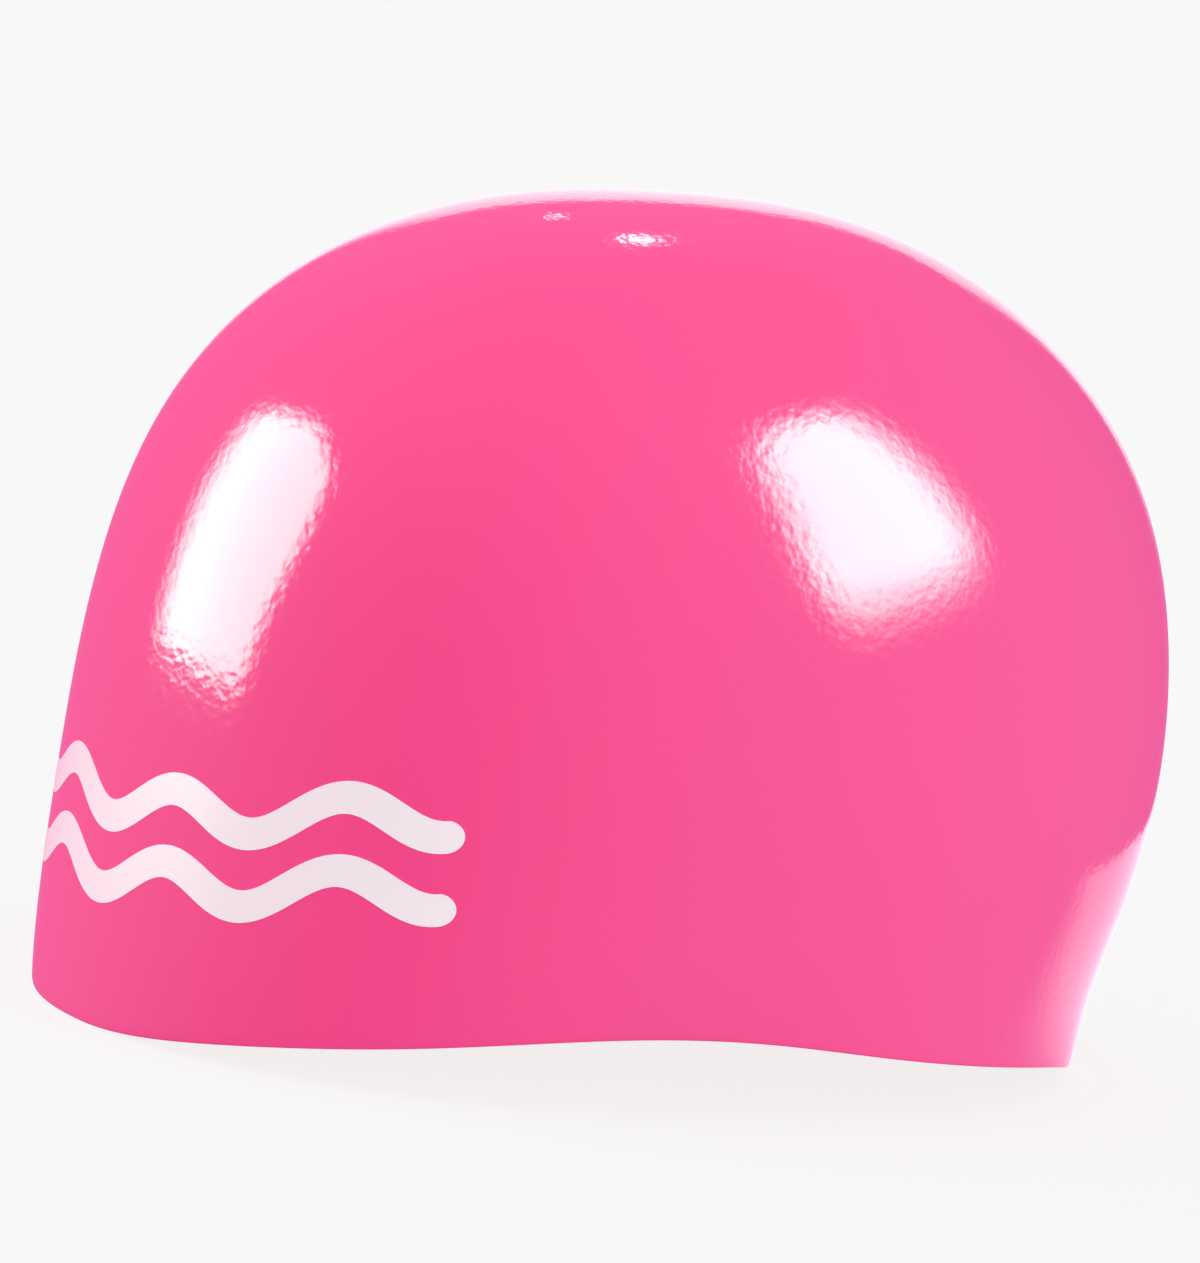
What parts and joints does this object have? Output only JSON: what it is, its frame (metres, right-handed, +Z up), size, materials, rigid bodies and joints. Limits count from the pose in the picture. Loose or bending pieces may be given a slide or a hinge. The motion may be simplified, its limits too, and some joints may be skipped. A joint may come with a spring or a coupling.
{
  "type": "swim cap",
  "caption": "Moulded silicone racing swim cap: a seamless hollow dome, open below, with a rim that arches over the ears.",
  "frame": {"origin": "on the surface under the cap, below the middle of its length and width", "axes": "+Z up, -Y towards the forehead, +Y towards the nape, +X towards the wearer's left ear"},
  "size_m": [0.1608, 0.2042, 0.1516],
  "materials": {
    "silicone": "gloss",
    "print": "satin"
  },
  "bodies": {
    "root": {"cap_shell": "silicone"}
  },
  "joints": []
}
